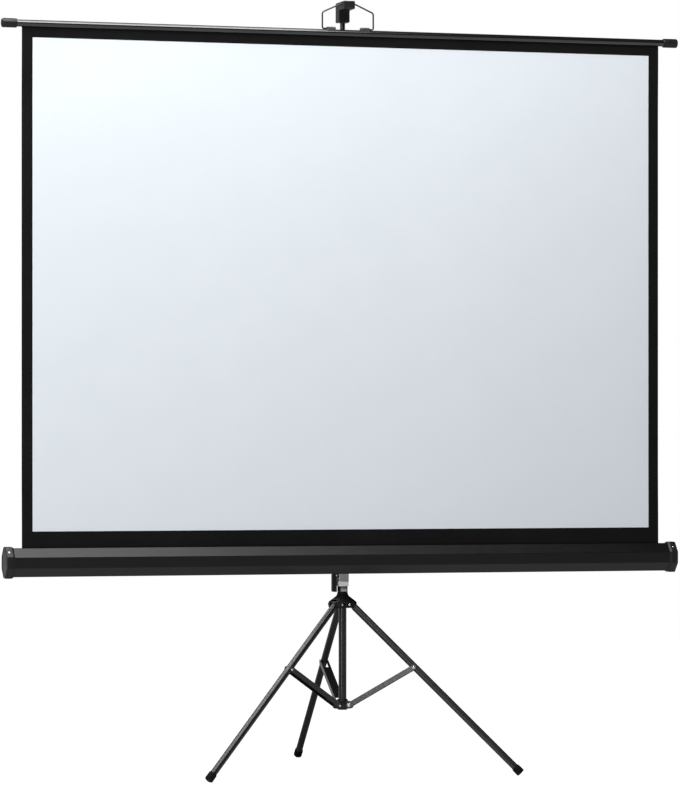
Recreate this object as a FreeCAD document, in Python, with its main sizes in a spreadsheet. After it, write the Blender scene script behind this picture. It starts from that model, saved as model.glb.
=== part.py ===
import FreeCAD, Part
import os, math
import Sketcher
from FreeCAD import Vector as V, Rotation as R, Placement as PL

# Tripod projection screen, 100 inch 4:3.  Millimetres, +Z up, the screen
# faces -Y, origin on the floor at the middle of the footprint.
doc = FreeCAD.newDocument("tripod_screen")
sheet = doc.addObject("Spreadsheet::Sheet", "Dims")
DIM = dict(
    screen_y=-192.4631, post_behind=58.0, fabric_wide=2100.0, fabric_thick=0.6, fabric_low=674.0, fabric_top=2331.0,
    case_len=2172.0, case_wall=1.2, case_mid_y=3.0, case_half_depth=36.0, case_flat=12.0,
    case_bot=629.0, case_low_edge=655.7, case_high_edge=690.0, case_roof=718.0,
    cap_outset=4.5, cap_start=1078.0, cap_end=1105.0,
    bar_z=2336.0, bar_rad=11.0, bar_bore=10.0, bar_len=2180.0, bar_slot=2.4,
    barcap_rad=14.5, barcap_start=1066.0, barcap_end=1114.0, keder_rad=3.5,
    roller_z=674.0, roller_off=16.6, roller_rad=15.0, roller_bore=14.0, roller_len=2120.0, roll_rad=16.2, arbor_rad=5.0,
    post_rad=12.5, post_bore=11.3, post_low=200.6, post_high=1450.0,
    rod_rad=8.0, rod_bore=6.8, rod_low=900.0, rod_high=2424.0,
    leg_rad=11.0, leg_bore=9.8, leg_pivot_rho=30.0, leg_pivot_z=531.0, foot_rho=588.0, foot_rad=13.6, foot_rise=8.0, foot_long=26.0,
    hub_pivot_rho=24.0, hub_pivot_z=211.7, brace_pick=284.0, brace_gap=12.0, brace_gauge=1.5, brace_deep=16.0,
    collar_rad=45.0, collar_low=520.0, collar_rim=538.5, collar_cone=557.0, neck_rad=17.0, neck_high=568.6, slot_wide=24.0,
    sleeve_half=16.5, sleeve_wall=2.0, sleeve_low=603.0, sleeve_high=712.0,
    wire_rad=2.5, bail_half=84.0, bail_shoulder=2401.0, bail_peak=2428.0, bail_flat=24.0,
    pin_rad=2.98, rivet_rad=3.0,
)
for i, (k, val) in enumerate(DIM.items()):
    sheet.set("A%d" % (i + 1), k)
    sheet.set("B%d" % (i + 1), repr(val))
    sheet.setAlias("B%d" % (i + 1), k)
doc.recompute()
D = {k: float(sheet.get(k)) for k in DIM}

SY = D["screen_y"]                     # plane of the fabric and of the top bar
PY = SY + D["post_behind"]             # axis of the post
CY = SY + D["case_mid_y"]              # middle of the case
RY = SY + D["roller_off"]              # roller axis
AX = V(1, 0, 0); AY = V(0, 1, 0); AZ = V(0, 0, 1)
parts = {}


def bind(obj, prop, val):
    """Numbers are set, words are bound to the sheet."""
    if isinstance(val, str):
        e = val
        for k in sorted(DIM, key=len, reverse=True):
            e = e.replace("$" + k, "Dims." + k)
        obj.setExpression(prop, e)
    else:
        setattr(obj, prop, val)


def box(name, lo, size):
    o = doc.addObject("Part::Box", name)
    for p, s in zip(("Length", "Width", "Height"), size):
        bind(o, p, s)
    o.Placement = PL(V(*lo), R())
    return o


def cyl(name, base, axis, rad, height):
    o = doc.addObject("Part::Cylinder", name)
    bind(o, "Radius", rad)
    bind(o, "Height", height)
    o.Placement = PL(V(*base), R(AZ, V(*axis)))
    return o


def cut(name, a, *tools):
    o = doc.addObject("Part::Cut", name)
    o.Base = a
    o.Tool = tools[0] if len(tools) == 1 else fuse(name + "_tools", *tools)
    return o


def fuse(name, *objs):
    o = doc.addObject("Part::MultiFuse", name)
    o.Shapes = list(objs)
    return o


def group(name, *objs):
    o = doc.addObject("Part::Compound", name)
    o.Links = list(objs)
    return o


def plane(body, role):
    return [f for f in body.Origin.OriginFeatures if f.Role == role][0]


def sketch_on(body, name, role="XY_Plane"):
    s = body.newObject("Sketcher::SketchObject", name)
    s.AttachmentSupport = [(plane(body, role), "")]
    s.MapMode = "FlatFace"
    return s


def ring_body(name, r_out, r_in, length, place):
    """A round tube or rod: one sketch of bound circles, padded."""
    b = doc.addObject("PartDesign::Body", name)
    s = sketch_on(b, name + "_section")
    for expr in (r_out, r_in):
        if expr is None:
            continue
        i = s.addGeometry(Part.Circle(V(0, 0, 0), AZ, 5.0 if expr is r_in else 9.0), False)
        s.addConstraint(Sketcher.Constraint("Coincident", i, 3, -1, 1))
        c = s.addConstraint(Sketcher.Constraint("Radius", i, 5.0 if expr is r_in else 9.0))
        e = expr
        for k in sorted(DIM, key=len, reverse=True):
            e = e.replace("$" + k, "Dims." + k)
        s.setExpression("Constraints[%d]" % c, e)
    pad = b.newObject("PartDesign::Pad", name + "_pad")
    pad.Profile = s
    bind(pad, "Length", length)
    b.Tip = pad
    b.Placement = place
    return b


def poly_body(name, loops, length, place):
    """Straight-sided section drawn as closed loops, padded along local Z."""
    b = doc.addObject("PartDesign::Body", name)
    s = sketch_on(b, name + "_section")
    for pts in loops:
        first = None
        for i in range(len(pts)):
            p, q = pts[i], pts[(i + 1) % len(pts)]
            k = s.addGeometry(Part.LineSegment(V(p[0], p[1], 0), V(q[0], q[1], 0)), False)
            if first is None:
                first = k
            else:
                s.addConstraint(Sketcher.Constraint("Coincident", k - 1, 2, k, 1))
        s.addConstraint(Sketcher.Constraint("Coincident", k, 2, first, 1))
        s.addConstraint(Sketcher.Constraint("Block", first))
    pad = b.newObject("PartDesign::Pad", name + "_pad")
    pad.Profile = s
    bind(pad, "Length", length)
    b.Tip = pad
    b.Placement = place
    return b


def keep(label, obj):
    obj.Label = label
    parts[label] = obj
    return obj


def along_x(x0, y, z):
    """Local X -> row Y, local Y -> row Z, local Z -> row X."""
    return PL(FreeCAD.Matrix(0, 0, 1, x0, 1, 0, 0, y, 0, 1, 0, z, 0, 0, 0, 1))


def grow(pts, d):
    """Offset a convex loop outwards by d."""
    n = len(pts)
    area = sum(pts[i][0] * pts[(i + 1) % n][1] - pts[(i + 1) % n][0] * pts[i][1] for i in range(n))
    sgn = 1 if area > 0 else -1
    lines = []
    for i in range(n):
        (x0, y0), (x1, y1) = pts[i], pts[(i + 1) % n]
        l = math.hypot(x1 - x0, y1 - y0)
        nx, ny = sgn * (y1 - y0) / l, -sgn * (x1 - x0) / l
        lines.append((nx, ny, nx * x0 + ny * y0 + d))
    out = []
    for i in range(n):
        a1, b1, c1 = lines[i - 1]
        a2, b2, c2 = lines[i]
        det = a1 * b2 - a2 * b1
        out.append(((c1 * b2 - c2 * b1) / det, (a1 * c2 - a2 * c1) / det))
    return out


# ---------------------------------------------------------------- case
hd, fl = D["case_half_depth"], D["case_flat"]
octagon = [(-fl, D["case_roof"]), (-hd, D["case_high_edge"]), (-hd, D["case_low_edge"]), (-fl, D["case_bot"]),
           (fl, D["case_bot"]), (hd, D["case_low_edge"]), (hd, D["case_high_edge"]), (fl, D["case_roof"])]
shell = poly_body("case_extrusion", [octagon, grow(octagon, -D["case_wall"])], "$case_len", along_x(-D["case_len"] / 2, CY, 0))
slot = box("case_slot", (-1100, SY - 4, 700), (2200, 8, 40))
pz = 0.5 * (D["case_bot"] + D["case_roof"])
shell_hole = cyl("case_pivot_hole", (0, CY + 30, pz), (0, 1, 0), 4.05, 20)
keep("case_shell", cut("case_shell_cut", shell, slot, shell_hole))
keep("slot_felts", group("slot_felts_group",
     box("felt_front", (-1070, SY - 3.9, 713.2), (2140, 2.4, 4.6)),
     box("felt_back", (-1070, SY + 1.5, 713.2), (2140, 2.4, 4.6))))

screws = []
for side, sx in (("left", -1), ("right", 1)):
    start = D["cap_start"] if sx > 0 else -D["cap_end"]
    blank = poly_body("cap_%s_blank" % side, [grow(octagon, D["cap_outset"])], "$cap_end - $cap_start", along_x(start, CY, 0))
    cav0 = D["cap_start"] - 1 if sx > 0 else -1087.0
    cavity = poly_body("cap_%s_cavity" % side, [grow(octagon, 0.08)], 1087.0 - D["cap_start"] + 1, along_x(cav0, CY, 0))
    hole = cyl("cap_%s_screw_hole" % side, (sx * 1095, CY - 25.5, 708), (0, -0.76, 0.65), 1.9, 40)
    keep("end_cap_" + side, cut("end_cap_%s_cut" % side, blank, cavity))
    # screw head on the upper front slope of the cap
    nrm = V(0, -28.0, 24.0).normalize()
    p = V(sx * 1092, CY - 24.0, 704.0) + nrm * (D["cap_outset"] + 0.02)
    screws.append(cyl("cap_%s_screw" % side, p, nrm, 3.6, 1.6))
keep("end_cap_screws", group("end_cap_screws_group", *screws))

# spring roller on its two fixed pins
rz = D["roller_z"]
keep("roller_tube", ring_body("roller_tube_body", "$roller_rad", "$roller_bore", "$roller_len", along_x(-D["roller_len"] / 2, RY, rz)))
keep("fabric_roll", ring_body("fabric_roll_body", "$roll_rad", "$roller_rad + 0.05", 2096.0, along_x(-1048, RY, rz)))
keep("spring_arbor", ring_body("spring_arbor_body", "$arbor_rad", None, 607.0, along_x(-1086.9, RY, rz)))
keep("idle_pin", ring_body("idle_pin_body", "$arbor_rad - 1", None, 46.9, along_x(1040, RY, rz)))
keep("roller_plug_left", ring_body("roller_plug_left_body", "$roller_bore - 0.05", "$arbor_rad + 0.05", 25.0, along_x(-1060, RY, rz)))
keep("roller_plug_right", ring_body("roller_plug_right_body", "$roller_bore - 0.05", "$arbor_rad - 0.95", 25.0, along_x(1035, RY, rz)))
keep("roller_spring", ring_body("roller_spring_body", "$roller_bore - 2.5", "$arbor_rad + 2", 500.0, along_x(-1000, RY, rz)))

# the sheet between the roller and the top bar
fab = box("screen_sheet", (-D["fabric_wide"] / 2, SY - D["fabric_thick"] / 2, D["fabric_low"]),
          ("$fabric_wide", "$fabric_thick", "$fabric_top - $fabric_low"))
keep("screen_fabric", fab)

# ---------------------------------------------------------------- top bar, bail, hook, rod
bz = D["bar_z"]
bar = ring_body("bar_tube", "$bar_rad", "$bar_bore", "$bar_len", along_x(-D["bar_len"] / 2, SY, bz))
keep("top_bar", cut("top_bar_cut", bar, box("bar_slot_cut", (-1056, SY - D["bar_slot"] / 2, bz - 14), (2112, "$bar_slot", 8))))
keep("keder_rod", ring_body("keder_rod_body", "$keder_rad", None, 2096.0, along_x(-1048, SY, bz)))
for side, sx in (("left", -1), ("right", 1)):
    x0 = D["barcap_start"] if sx > 0 else -D["barcap_end"]
    b0 = D["barcap_start"] - 1 if sx > 0 else -1091.0
    outer = cyl("barcap_%s_outer" % side, (x0, SY, bz), (1, 0, 0), "$barcap_rad", "$barcap_end - $barcap_start")
    bore = cyl("barcap_%s_bore" % side, (b0, SY, bz), (1, 0, 0), "$bar_rad + 0.05", 1091.0 - D["barcap_start"] + 1)
    fil = doc.addObject("Part::Fillet", "barcap_%s_round" % side)
    fil.Base = outer
    fil.Edges = [(1, 2.5, 2.5), (3, 2.5, 2.5)]
    keep("bar_cap_" + side, cut("bar_cap_%s_cut" % side, fil, bore))

wr = D["wire_rad"]
foot_z = bz + D["bar_rad"] + wr + 0.08
route = [(-44, foot_z), (-D["bail_half"], foot_z), (-D["bail_half"], D["bail_shoulder"]), (-D["bail_flat"], D["bail_peak"]),
         (D["bail_flat"], D["bail_peak"]), (D["bail_half"], D["bail_shoulder"]), (D["bail_half"], foot_z), (44, foot_z)]


def rounded(pts, radius):
    """Straight runs joined by tangent arcs, in the screen's plane."""
    P3 = [V(x, SY, z) for x, z in pts]
    edges = []
    last = P3[0]
    for a, b, c in zip(P3, P3[1:], P3[2:]):
        u = (a - b).normalize(); w = (c - b).normalize()
        half = 0.5 * u.getAngle(w)
        tl = radius / math.tan(half)
        p, q = b + u * tl, b + w * tl
        mid_dir = (u + w).normalize()
        m = b + mid_dir * (radius / math.sin(half) - radius)
        edges.append(Part.LineSegment(last, p).toShape())
        edges.append(Part.Arc(p, m, q).toShape())
        last = q
    edges.append(Part.LineSegment(last, P3[-1]).toShape())
    return Part.Wire(edges)


path = rounded(route, 9.0)
prof = Part.Wire([Part.Circle(V(-44, SY, foot_z), V(1, 0, 0), wr).toShape()])
bail = doc.addObject("Part::Feature", "bail_wire")
bail.Shape = path.makePipeShell([prof], True, False)
keep("bail", bail)
clips = []
heads = []
for sx in (-1, 1):
    blk = box("clip_blank_%d" % (sx + 1), (sx * 56 - 14, SY - 9.5, bz + 4.0), (28, 19, 14.6))
    clips.append(cut("clip_%d" % (sx + 1), blk,
                     cyl("clip_bar_%d" % (sx + 1), (sx * 56 - 20, SY, bz), (1, 0, 0), "$bar_rad + 0.05", 40),
                     cyl("clip_wire_%d" % (sx + 1), (sx * 56 - 20, SY, foot_z), (1, 0, 0), "$wire_rad + 0.06", 40)))
    for sy in (-1, 1):
        heads.append(cyl("clip_head_%d_%d" % (sx + 1, sy + 1), (sx * 56, SY + sy * 6.4, bz + 18.62), (0, 0, 1), 2.6, 1.5))
keep("bail_clips", group("bail_clips_group", *clips))
keep("clip_screws", group("clip_screws_group", *heads))

arm = box("hook_arm", (-18, SY - 20, 2412), (36, D["post_behind"] + 10, 25))
stem = box("hook_sleeve", (-17, PY - 20, 2375), (34, 38, 62))
groove = box("hook_groove", (-30, SY - 3.6, D["bail_peak"] - wr - 0.08), (60, 7.2, 40))
rodhole = cyl("hook_rod_hole", (0, PY, 2360), (0, 0, 1), "$rod_rad + 0.04", D["rod_high"] - 2360 + 0.1)
pinhole = cyl("hook_pin_hole", (-30, PY, 2392), (1, 0, 0), 2.52, 60)
keep("hook_block", cut("hook_block_cut", fuse("hook_blank", arm, stem), groove, rodhole, pinhole))
rod = ring_body("rod_tube", "$rod_rad", "$rod_bore", "$rod_high - $rod_low", PL(V(0, PY, D["rod_low"]), R()))
keep("extension_rod", cut("extension_rod_cut", rod, cyl("rod_pin_hole", (-30, PY, 2392), (1, 0, 0), 2.52, 60)))
keep("hook_pin", cyl("hook_cross_pin", (-17, PY, 2392), (1, 0, 0), 2.5, 34))
keep("rod_end_plug", fuse("rod_end_plug_fuse",
     cyl("rod_plug_flange", (0, PY, 884.9), (0, 0, 1), "$post_bore - 0.3", 15),
     cyl("rod_plug_spigot", (0, PY, 890), (0, 0, 1), "$rod_bore - 0.05", 40)))

# ---------------------------------------------------------------- post
keep("centre_post", ring_body("post_tube", "$post_rad", "$post_bore", "$post_high - $post_low", PL(V(0, PY, D["post_low"]), R())))
bz0 = D["post_high"] - 12
bush = fuse("bush_blank", cyl("bush_barrel", (0, PY, bz0), (0, 0, 1), 16.5, 42),
            cyl("bush_boss", (0, PY, bz0 + 28), (0, 1, 0), 8.5, 26))
keep("post_top_bush", cut("post_top_bush_cut", bush,
     cyl("bush_counterbore", (0, PY, bz0 - 1), (0, 0, 1), "$post_rad + 0.05", 13.05),
     cyl("bush_bore", (0, PY, bz0 - 1), (0, 0, 1), "$rod_rad + 0.06", 50),
     cyl("bush_screw_hole", (0, PY, bz0 + 28), (0, 1, 0), 3.06, 40)))
knob = fuse("knob_blank", cyl("knob_head", (0, PY + 27.5, bz0 + 28), (0, 1, 0), 14, 15),
            cyl("knob_collar", (0, PY + 26.5, bz0 + 28), (0, 1, 0), 8, 4))
flutes = []
for k in range(9):
    a = 2 * math.pi * k / 9
    flutes.append(cyl("knob_flute_%d" % k, (15.5 * math.cos(a), PY + 26, bz0 + 28 + 15.5 * math.sin(a)), (0, 1, 0), 3.2, 20))
keep("rod_knob", fuse("rod_knob_fuse", cut("knob_fluted", knob, *flutes),
     cyl("knob_shank", (0, PY + 8.6, bz0 + 28), (0, 1, 0), 3.0, 24)))

hub_rho, hub_z = D["hub_pivot_rho"], D["hub_pivot_z"]
hub_bits = [cyl("hub_barrel", (0, 0, 200), (0, 0, 1), 17.0, 30)]
hub_holes = [cyl("hub_bore", (0, 0, 190), (0, 0, 1), "$post_rad + 0.05", 60)]
pins = []
AZIM = {"left": 208.0, "right": 328.0, "rear": 88.0}


def turned(az):
    return PL(V(0, 0, 0), R(AZ, az))


for side, az in AZIM.items():
    lug = box("hub_lug_" + side, (0, 0, 0), (20, 22, 24))
    lug.Placement = turned(az) * PL(V(13.5, -11, 200), R())
    hub_bits.append(lug)
    h = cyl("hub_hole_" + side, (0, 0, 0), (0, 0, 1), "$rivet_rad + 0.02", 60)
    h.Placement = turned(az) * PL(V(hub_rho, -30, hub_z), R(AZ, AY))
    hub_holes.append(h)
    s1 = cyl("hub_pin_" + side, (0, 0, 0), (0, 0, 1), "$rivet_rad", 31)
    s1.Placement = turned(az) * PL(V(hub_rho, -15.5, hub_z), R(AZ, AY))
    s2 = cyl("hub_pin_head_a_" + side, (0, 0, 0), (0, 0, 1), 5.2, 1.6)
    s2.Placement = turned(az) * PL(V(hub_rho, -15.5, hub_z), R(AZ, AY))
    s3 = cyl("hub_pin_head_b_" + side, (0, 0, 0), (0, 0, 1), 5.2, 1.6)
    s3.Placement = turned(az) * PL(V(hub_rho, 13.9, hub_z), R(AZ, AY))
    pins.append(fuse("hub_rivet_" + side, s1, s2, s3))
AT = PL(V(0, PY, 0), R())
hub = cut("lower_hub_cut", fuse("hub_blank", *hub_bits), *hub_holes)
hub.Placement = AT
keep("lower_hub", hub)
hp = group("lower_hub_rivets_group", *pins)
hp.Placement = AT
keep("lower_hub_rivets", hp)
keep("post_end_plug", fuse("post_end_plug_fuse", cyl("plug_flange", (0, PY, 195.9), (0, 0, 1), 15.5, 4),
     cyl("plug_spigot", (0, PY, 197), (0, 0, 1), "$post_bore - 0.05", 25)))

# ---------------------------------------------------------------- leg collar
cb = doc.addObject("PartDesign::Body", "collar_body")
cs = sketch_on(cb, "collar_profile", "XZ_Plane")
prof_pts = [(12.56, D["collar_low"]), (D["collar_rad"], D["collar_low"]), (D["collar_rad"], D["collar_rim"]),
            (20.5, D["collar_cone"]), (D["neck_rad"], D["collar_cone"] + 3), (D["neck_rad"], D["neck_high"]), (12.56, D["neck_high"])]
for i in range(len(prof_pts)):
    p, q = prof_pts[i], prof_pts[(i + 1) % len(prof_pts)]
    cs.addGeometry(Part.LineSegment(V(p[0], p[1], 0), V(q[0], q[1], 0)), False)
    if i:
        cs.addConstraint(Sketcher.Constraint("Coincident", i - 1, 2, i, 1))
cs.addConstraint(Sketcher.Constraint("Coincident", len(prof_pts) - 1, 2, 0, 1))
rev = cb.newObject("PartDesign::Revolution", "collar_turned")
rev.Profile = cs
rev.ReferenceAxis = (cs, ["V_Axis"])
rev.Angle = 360.0
cb.Tip = rev
slots, colpins = [], []
lrho, lz = D["leg_pivot_rho"], D["leg_pivot_z"]
for side, az in AZIM.items():
    sl = box("collar_slot_" + side, (0, 0, 0), (50, "$slot_wide", 34))
    sl.Placement = turned(az) * PL(V(16.5, -D["slot_wide"] / 2, 512), R())
    slots.append(sl)
    h = cyl("collar_hole_" + side, (0, 0, 0), (0, 0, 1), "$pin_rad + 0.02", 90)
    h.Placement = turned(az) * PL(V(lrho, -45, lz), R(AZ, AY))
    slots.append(h)
    pn = cyl("collar_pin_" + side, (0, 0, 0), (0, 0, 1), "$pin_rad", 68.4)
    pn.Placement = turned(az) * PL(V(lrho, -34.2, lz), R(AZ, AY))
    colpins.append(pn)
col = cut("leg_collar_cut", cb, *slots)
col.Placement = AT
keep("leg_collar", col)
cp = group("leg_pivot_pins_group", *colpins)
cp.Placement = AT
keep("leg_pivot_pins", cp)

# ---------------------------------------------------------------- legs and braces
dr, dz = D["foot_rho"] - lrho, lz
LEG = math.hypot(dr, dz)
alpha = math.degrees(math.atan2(dr, dz))
ar = math.radians(alpha)
prho, pzz = lrho + D["brace_pick"] * math.sin(ar), lz - D["brace_pick"] * math.cos(ar)
S = math.hypot(prho - hub_rho, pzz - hub_z)
beta = math.degrees(math.atan2(prho - hub_rho, pzz - hub_z))
print("leg length %.3f angle %.4f  brace length %.3f angle %.4f" % (LEG, alpha, S, beta))
for side, az in AZIM.items():
    frame = AT * turned(az)
    leg_at = PL(V(lrho, 0, lz), R(AY, 180 - alpha))
    t = ring_body("leg_tube_" + side, "$leg_rad", "$leg_bore", LEG - 12 - 20, frame * leg_at * PL(V(0, 0, 12), R()))
    keep(side + "_leg_tube", t)
    barrel = cyl("leg_barrel_" + side, (0, 0, 0), (0, 0, 1), "$leg_rad - 0.1", 22)
    barrel.Placement = leg_at * PL(V(0, -11, 0), R(AZ, AY))
    plug = cyl("leg_plug_" + side, (0, 0, 0), (0, 0, 1), "$leg_bore - 0.05", 48)
    plug.Placement = leg_at
    hole = cyl("leg_pin_hole_" + side, (0, 0, 0), (0, 0, 1), "$pin_rad + 0.07", 60)
    hole.Placement = leg_at * PL(V(0, -30, 0), R(AZ, AY))
    pl_trim = box("leg_insert_trim_" + side, (0, 0, 0), (60, 60, 12))
    # the barrel stops where the tube begins
    pl_trim.Placement = leg_at * PL(V(-30, -30, 12.05), R())
    core = cyl("leg_core_" + side, (0, 0, 0), (0, 0, 1), "$leg_bore - 0.05", 60)
    core.Placement = leg_at * PL(V(0, 0, 5), R())
    body = fuse("leg_insert_blank_" + side, cut("leg_head_" + side, barrel, pl_trim), plug)
    ins = cut("leg_insert_cut_" + side, body, hole)
    ins.Placement = frame
    keep(side + "_leg_insert", ins)
    # a square-ended boot that stands on its lower edge, worn flat there
    tip = cyl("foot_blank_" + side, (0, 0, 0), (0, 0, 1), "$foot_rad", "$foot_long")
    tip.Placement = leg_at * PL(V(0, 0, LEG - D["foot_rise"] / math.cos(ar) - D["foot_long"]), R())
    socket = cyl("foot_socket_" + side, (0, 0, 0), (0, 0, 1), "$leg_rad + 0.05", 50)
    socket.Placement = leg_at * PL(V(0, 0, LEG - 69.9), R())
    floor = box("foot_floor_" + side, (300, -200, -200), (600, 400, 200))
    ft = cut("foot_cut_" + side, tip, socket, floor)
    ft.Placement = frame
    keep(side + "_leg_foot", ft)

    brace_at = PL(V(hub_rho, 0, hub_z), R(AY, beta))
    half, gap, gauge = D["brace_deep"] / 2, D["brace_gap"], D["brace_gauge"]
    bits = []
    for sgn in (-1, 1):
        pt = box("brace_cheek_%s_%d" % (side, sgn + 1), (0, 0, 0), ("$brace_deep", "$brace_gauge", S))
        pt.Placement = brace_at * PL(V(-half, gap if sgn > 0 else -gap - gauge, 0), R())
        bits.append(pt)
        for w, nm in ((0, "low"), (S, "high")):
            e = cyl("brace_end_%s_%s_%d" % (nm, side, sgn + 1), (0, 0, 0), (0, 0, 1), "$brace_deep / 2", "$brace_gauge")
            e.Placement = brace_at * PL(V(0, gap if sgn > 0 else -gap - gauge, w), R(AZ, AY))
            bits.append(e)
    web = box("brace_web_" + side, (0, 0, 0), ("$brace_gauge", "$brace_gap * 2 + 1", 176))
    web.Placement = brace_at * PL(V(-half, -gap - 0.5, 26), R())
    bits.append(web)
    hl = cyl("brace_low_hole_" + side, (0, 0, 0), (0, 0, 1), "$rivet_rad + 0.05", 60)
    hl.Placement = brace_at * PL(V(0, -30, 0), R(AZ, AY))
    hh = cyl("brace_high_hole_" + side, (0, 0, 0), (0, 0, 1), 2.5, 60)
    hh.Placement = brace_at * PL(V(0, -30, S), R(AZ, AY))
    br = cut("brace_cut_" + side, fuse("brace_blank_" + side, *bits), hl, hh)
    br.Placement = frame
    keep(side + "_brace", br)
    rv = []
    for sgn in (-1, 1):
        sh = cyl("brace_rivet_shank_%s_%d" % (side, sgn + 1), (0, 0, 0), (0, 0, 1), 2.48, gauge + 1)
        sh.Placement = brace_at * PL(V(0, gap if sgn > 0 else -gap - gauge - 1, S), R(AZ, AY))
        hd2 = cyl("brace_rivet_head_%s_%d" % (side, sgn + 1), (0, 0, 0), (0, 0, 1), 5.2, 1.8)
        hd2.Placement = brace_at * PL(V(0, gap + gauge + 0.02 if sgn > 0 else -gap - gauge - 1.82, S), R(AZ, AY))
        rv.append(fuse("brace_rivet_%s_%d" % (side, sgn + 1), sh, hd2))
    rg = group("brace_rivets_" + side, *rv)
    rg.Placement = frame
    keep(side + "_brace_rivets", rg)

# ---------------------------------------------------------------- carriage on the post
sh_ = D["sleeve_half"]
sq = [(-sh_, -sh_), (sh_, -sh_), (sh_, sh_), (-sh_, sh_)]
si = sh_ - D["sleeve_wall"]
sqi = [(-si, -si), (si, -si), (si, si), (-si, si)]
slv = poly_body("sleeve_tube", [sq, sqi], "$sleeve_high - $sleeve_low", PL(V(0, PY, D["sleeve_low"]), R()))
keep("slide_sleeve", cut("slide_sleeve_cut", slv, cyl("sleeve_pivot_hole", (0, PY - 10, pz), (0, -1, 0), 4.05, 20)))
gl = []
for k, z0 in enumerate((589.0, 689.0)):
    g0 = box("guide_blank_%d" % k, (-si + 0.05, PY - si + 0.05, z0), (2 * si - 0.1, 2 * si - 0.1, 22))
    if k == 0:
        # the lower liner has a square flange below the sleeve
        g0 = fuse("guide_flanged", g0, box("guide_flange", (-sh_, PY - sh_, 588.1), (2 * sh_, 2 * sh_, 14.85)))
    gl.append(cut("guide_%d" % k, g0, cyl("guide_bore_%d" % k, (0, PY, z0 - 2), (0, 0, 1), "$post_rad + 0.06", 30)))
keep("sleeve_guides", group("sleeve_guides_group", *gl))
keep("carriage_foot", cut("carriage_foot_cut", cyl("carriage_foot_blank", (0, PY, 569.0), (0, 0, 1), 16.2, 18.9),
     cyl("carriage_foot_bore", (0, PY, 560), (0, 0, 1), "$post_rad + 0.3", 40)))
by0 = CY + hd + 0.05
keep("case_bracket", cut("case_bracket_cut", box("bracket_plate", (-48, by0, 650), (96, PY - sh_ - 0.05 - by0, 46)),
     cyl("bracket_pivot_hole", (0, by0 - 5, pz), (0, 1, 0), 4.05, 20)))
keep("pivot_rivet", fuse("pivot_rivet_fuse",
     cyl("pivot_shank", (0, CY + 35.5, pz), (0, 1, 0), 4.0, PY - si + 1.4 - (CY + 35.5)),
     cyl("pivot_head_case", (0, CY + hd - D["case_wall"] - 1.9, pz), (0, 1, 0), 8.5, 1.85),
     cyl("pivot_head_sleeve", (0, PY - si + 0.05, pz), (0, 1, 0), 8.0, 1.4)))
keep("bracket_rivets", group("bracket_rivets_group", *[
     cyl("bracket_rivet_%d" % k, (x, PY - sh_ + 0.0, 673), (0, 1, 0), 4.0, 1.8) for k, x in enumerate((-38, 38))]))
lz0 = 622.0
ears = fuse("lever_ears_fuse",
            box("lever_ear_a", (-27, PY - 9.6, 613), (10.45, 2.0, 17)),
            box("lever_ear_b", (-27, PY + 7.6, 613), (10.45, 2.0, 17)),
            box("lever_ear_back", (-18.05, PY - 9.6, 613), (1.5, 19.2, 17)))
keep("lever_ears", cut("lever_ears_cut", ears, cyl("lever_ear_hole", (-22.5, PY - 20, lz0), (0, 1, 0), 2.52, 40)))
keep("lever_pin", cyl("lever_pin_rod", (-22.5, PY - 10.6, lz0), (0, 1, 0), 2.5, 21.2))
lev = fuse("lever_blank",
           box("lever_grip", (-35.5, PY - 7.2, 570), (6.0, 14.4, 58)),
           box("lever_toe", (-30, PY - 7.2, 570), (9.8, 14.4, 15)),
           box("lever_cheek_a", (-30, PY - 7.2, 584), (9.8, 1.6, 35)),
           box("lever_cheek_b", (-30, PY + 5.6, 584), (9.8, 1.6, 35)),
           box("lever_arm", (-30, PY - 7.2, 617), (8, 14.4, 10)),
           cyl("lever_boss", (-22.5, PY - 7.2, lz0), (0, 1, 0), 3.9, 14.4))
keep("lock_lever", cut("lock_lever_cut", lev, cyl("lever_hole", (-22.5, PY - 20, lz0), (0, 1, 0), 2.56, 40)))
keep("lever_spring", fuse("lever_spring_fuse",
     box("spring_base", (-17.3, PY - 4, 590), (0.75, 8, 20)),
     box("spring_tongue", (-21.0, PY - 4, 590), (4.0, 8, 0.8)),
     box("spring_tip", (-21.6, PY - 4, 590), (0.8, 8, 14))))

doc.recompute()
bad = []
for o in doc.Objects:
    if "Invalid" in o.State or "Error" in o.State:
        bad.append(o.Name + " " + str(o.State))
for label, o in parts.items():
    if o.Shape.isNull() or not o.Shape.isValid() or not o.Shape.Solids:
        bad.append("shape " + label)
if bad:
    raise SystemExit("failed: " + "; ".join(bad))
os.makedirs("parts", exist_ok=True)
bb = None
for label, o in parts.items():
    o.Shape.exportStep("parts/%s.step" % label)
    b = o.Shape.optimalBoundingBox(False, False)
    if bb is None:
        bb = FreeCAD.BoundBox(b)
    else:
        bb.add(b)
print(len(parts), "parts", bb)
print("middle y", 0.5 * (bb.YMin + bb.YMax))
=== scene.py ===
import math
import bpy
import bmesh
from mathutils import Matrix, Vector


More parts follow.
